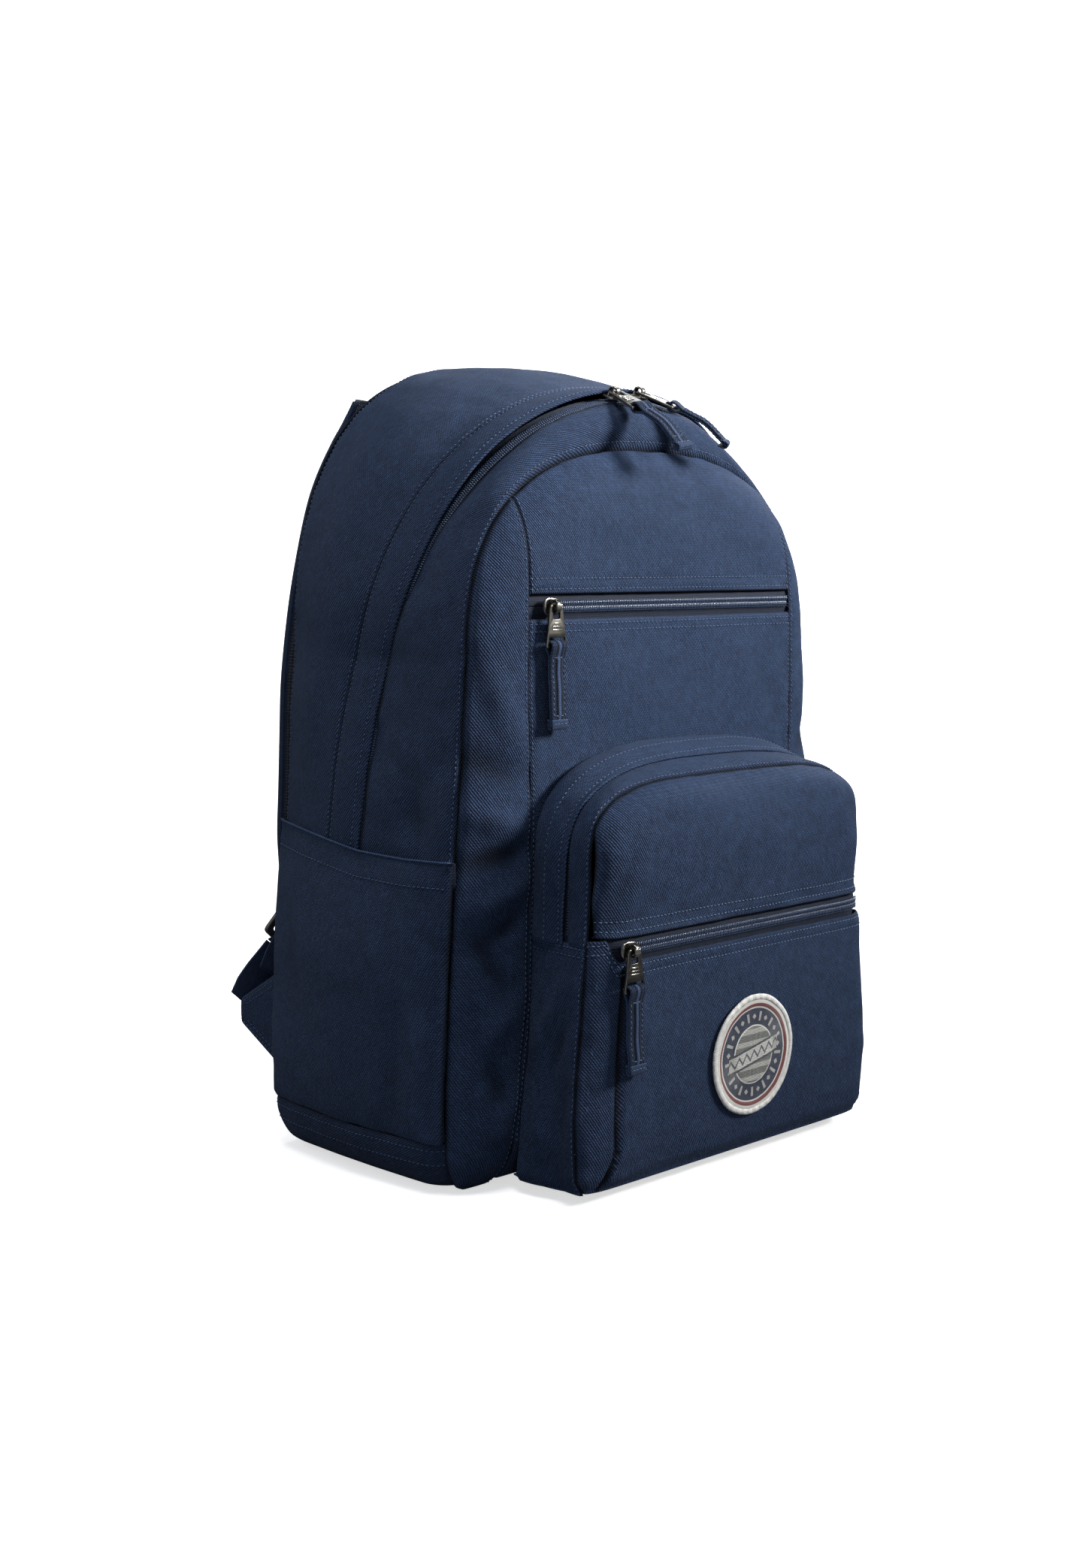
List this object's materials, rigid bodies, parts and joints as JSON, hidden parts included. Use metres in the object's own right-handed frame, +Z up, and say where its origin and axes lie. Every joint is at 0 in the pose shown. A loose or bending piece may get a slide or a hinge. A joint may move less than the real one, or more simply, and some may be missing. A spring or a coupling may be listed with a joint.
{
  "type": "school backpack",
  "caption": "Arched textile backpack with a curved main zip, a domed front pocket, two slip side pockets, flat zip pockets, padded shoulder straps and a haul loop.",
  "frame": {"origin": "on the flat floor face of the base, in the middle from left to right, 123 mm in front of the back seam", "axes": "+Z up, -Y out of the front panel, +Y out of the back that rests on the wearer, +X to the right as seen from the front"},
  "size_m": [0.3376, 0.2772, 0.4459],
  "materials": {
    "shell_twill": "matt navy twill with double topstitching",
    "base_twill": "matt navy twill, coated, slightly worn on the corners",
    "zip_tape": "dark navy ribbed zip tape with a slightly glossy coil",
    "pull_tab_twill": "navy twill ribbon, folded and stitched",
    "webbing": "ribbed polyester webbing",
    "back_mesh": "open air mesh over foam",
    "lining": "plain woven lining",
    "patch_twill": "embroidered twill patch with thread bands",
    "patch_edge": "over-locked border thread",
    "gunmetal": "dark gunmetal die casting, bright worn edges",
    "buckle_plastic": "fine-grained moulded plastic",
    "stiffener": "plain polyethylene board"
  },
  "bodies": {
    "shell": {"back_pad": "back_mesh", "back_panel": "shell_twill", "base_board": "stiffener", "base_panel": "base_twill", "front_gusset": "shell_twill", "front_panel_lower": "shell_twill", "front_panel_upper": "shell_twill", "front_strip_left": "shell_twill", "front_strip_right": "shell_twill", "laptop_sleeve": "lining", "lower_pocket_lining": "lining", "lower_zip_tape_bottom": "zip_tape", "lower_zip_tape_top": "zip_tape", "main_flap": "shell_twill", "main_zip_tape_front": "zip_tape", "main_zip_tape_rear": "zip_tape", "patch_border": "patch_edge", "pocket_bottom": "base_twill", "pocket_flap": "shell_twill", "pocket_front_gusset": "shell_twill", "pocket_front_lower": "shell_twill", "pocket_front_upper": "shell_twill", "pocket_rear_gusset": "shell_twill", "pocket_side_left": "shell_twill", "pocket_side_right": "shell_twill", "pocket_zip_tape_front": "zip_tape", "pocket_zip_tape_rear": "zip_tape", "rear_gusset": "shell_twill", "round_patch": "patch_twill", "side_pocket_left": "shell_twill", "side_pocket_right": "shell_twill", "strap_webbing_left": "webbing", "strap_webbing_right": "webbing", "strap_wing_left": "shell_twill", "strap_wing_right": "shell_twill", "strap_yoke": "shell_twill", "upper_pocket_lining": "lining", "upper_zip_tape_bottom": "zip_tape", "upper_zip_tape_top": "zip_tape"},
    "upper_slider": {"upper_slider": "gunmetal"},
    "upper_puller": {"upper_puller": "gunmetal"},
    "upper_tab": {"upper_pull_tab": "pull_tab_twill"},
    "lower_slider": {"lower_slider": "gunmetal"},
    "lower_puller": {"lower_puller": "gunmetal"},
    "lower_tab": {"lower_pull_tab": "pull_tab_twill"},
    "main_slider_left": {"main_slider_left": "gunmetal"},
    "main_puller_left": {"main_puller_left": "gunmetal"},
    "main_tab_left": {"main_pull_tab_left": "pull_tab_twill"},
    "main_slider_right": {"main_slider_right": "gunmetal"},
    "main_puller_right": {"main_puller_right": "gunmetal"},
    "main_tab_right": {"main_pull_tab_right": "pull_tab_twill"},
    "pocket_slider": {"pocket_slider": "gunmetal"},
    "pocket_puller": {"pocket_puller": "gunmetal"},
    "pocket_tab": {"pocket_pull_tab": "pull_tab_twill"},
    "strap_left": {"strap_pad_left": "shell_twill"},
    "strap_right": {"strap_pad_right": "shell_twill"},
    "buckle_left": {"ladder_lock_left": "buckle_plastic"},
    "buckle_right": {"ladder_lock_right": "buckle_plastic"},
    "haul_handle": {"haul_loop": "webbing"}
  },
  "joints": [
    {"name": "upper_zip_slide", "type": "slide", "parent": "shell", "child": "upper_slider", "axis": [1, 0, 0], "range_m": [0, 0.187]},
    {"name": "lower_zip_slide", "type": "slide", "parent": "shell", "child": "lower_slider", "axis": [1, 0, 0], "range_m": [0, 0.175]},
    {"name": "main_zip_left_run", "type": "hinge", "parent": "shell", "child": "main_slider_left", "pos_m": [0, 0.03451, 0.28932], "axis": [0, 0.9473, 0.3202], "range_deg": [-28, 0]},
    {"name": "main_zip_right_run", "type": "hinge", "parent": "shell", "child": "main_slider_right", "pos_m": [0, 0.03451, 0.28932], "axis": [0, 0.9473, 0.3202], "range_deg": [0, 28]},
    {"name": "pocket_zip_slide", "type": "slide", "parent": "shell", "child": "pocket_slider", "axis": [-0.0428, 0, 0.9991], "range_m": [0, 0.03]},
    {"name": "upper_puller_swing", "type": "hinge", "parent": "upper_slider", "child": "upper_puller", "pos_m": [-0.0935, -0.0433, 0.308], "axis": [-1, 0, 0], "range_deg": [0, 110]},
    {"name": "upper_tab_bend", "type": "hinge", "parent": "upper_puller", "child": "upper_tab", "pos_m": [-0.0935, -0.04383, 0.28751], "axis": [-1, 0, 0], "range_deg": [0, 55]},
    {"name": "lower_puller_swing", "type": "hinge", "parent": "lower_slider", "child": "lower_puller", "pos_m": [-0.094, -0.10058, 0.1345], "axis": [-1, 0, 0], "range_deg": [0, 110]},
    {"name": "lower_tab_bend", "type": "hinge", "parent": "lower_puller", "child": "lower_tab", "pos_m": [-0.094, -0.10111, 0.11401], "axis": [-1, 0, 0], "range_deg": [0, 55]},
    {"name": "main_left_puller_swing", "type": "hinge", "parent": "main_slider_left", "child": "main_puller_left", "pos_m": [-0.01623, -0.01111, 0.42429], "axis": [-0.9912, -0.0299, -0.1293], "range_deg": [0, 110]},
    {"name": "main_left_tab_bend", "type": "hinge", "parent": "main_puller_left", "child": "main_tab_left", "pos_m": [-0.0145, -0.02944, 0.41528], "axis": [-0.9912, -0.0299, -0.1293], "range_deg": [0, 55]},
    {"name": "main_right_puller_swing", "type": "hinge", "parent": "main_slider_right", "child": "main_puller_right", "pos_m": [0.00375, -0.01139, 0.42512], "axis": [-0.8087, -0.5636, -0.1681], "range_deg": [0, 110]},
    {"name": "main_right_tab_bend", "type": "hinge", "parent": "main_puller_right", "child": "main_tab_right", "pos_m": [0.01564, -0.02609, 0.41719], "axis": [-0.8087, -0.5636, -0.1681], "range_deg": [0, 55]},
    {"name": "pocket_puller_swing", "type": "hinge", "parent": "pocket_slider", "child": "pocket_puller", "pos_m": [0.11424, -0.06931, 0.14594], "axis": [0, -1, 0], "range_deg": [0, 110]},
    {"name": "pocket_tab_bend", "type": "hinge", "parent": "pocket_puller", "child": "pocket_tab", "pos_m": [0.11744, -0.06931, 0.12569], "axis": [0, -1, 0], "range_deg": [0, 55]},
    {"name": "strap_left_swing", "type": "hinge", "parent": "shell", "child": "strap_left", "pos_m": [-0.058, 0.1265, 0.4275], "axis": [1, 0, 0], "range_deg": [0, 22]},
    {"name": "buckle_left_tilt", "type": "hinge", "parent": "strap_left", "child": "buckle_left", "pos_m": [-0.10262, 0.16161, 0.12037], "axis": [0.728, 0, -0.6856], "range_deg": [0, 25]},
    {"name": "strap_right_swing", "type": "hinge", "parent": "shell", "child": "strap_right", "pos_m": [0.058, 0.1265, 0.4275], "axis": [1, 0, 0], "range_deg": [0, 22]},
    {"name": "buckle_right_tilt", "type": "hinge", "parent": "strap_right", "child": "buckle_right", "pos_m": [0.10262, 0.16161, 0.12037], "axis": [0.728, 0, 0.6856], "range_deg": [0, 25]},
    {"name": "haul_handle_lift", "type": "hinge", "parent": "shell", "child": "haul_handle", "pos_m": [0, 0.1315, 0.43], "axis": [1, 0, 0], "range_deg": [0, 150]}
  ]
}
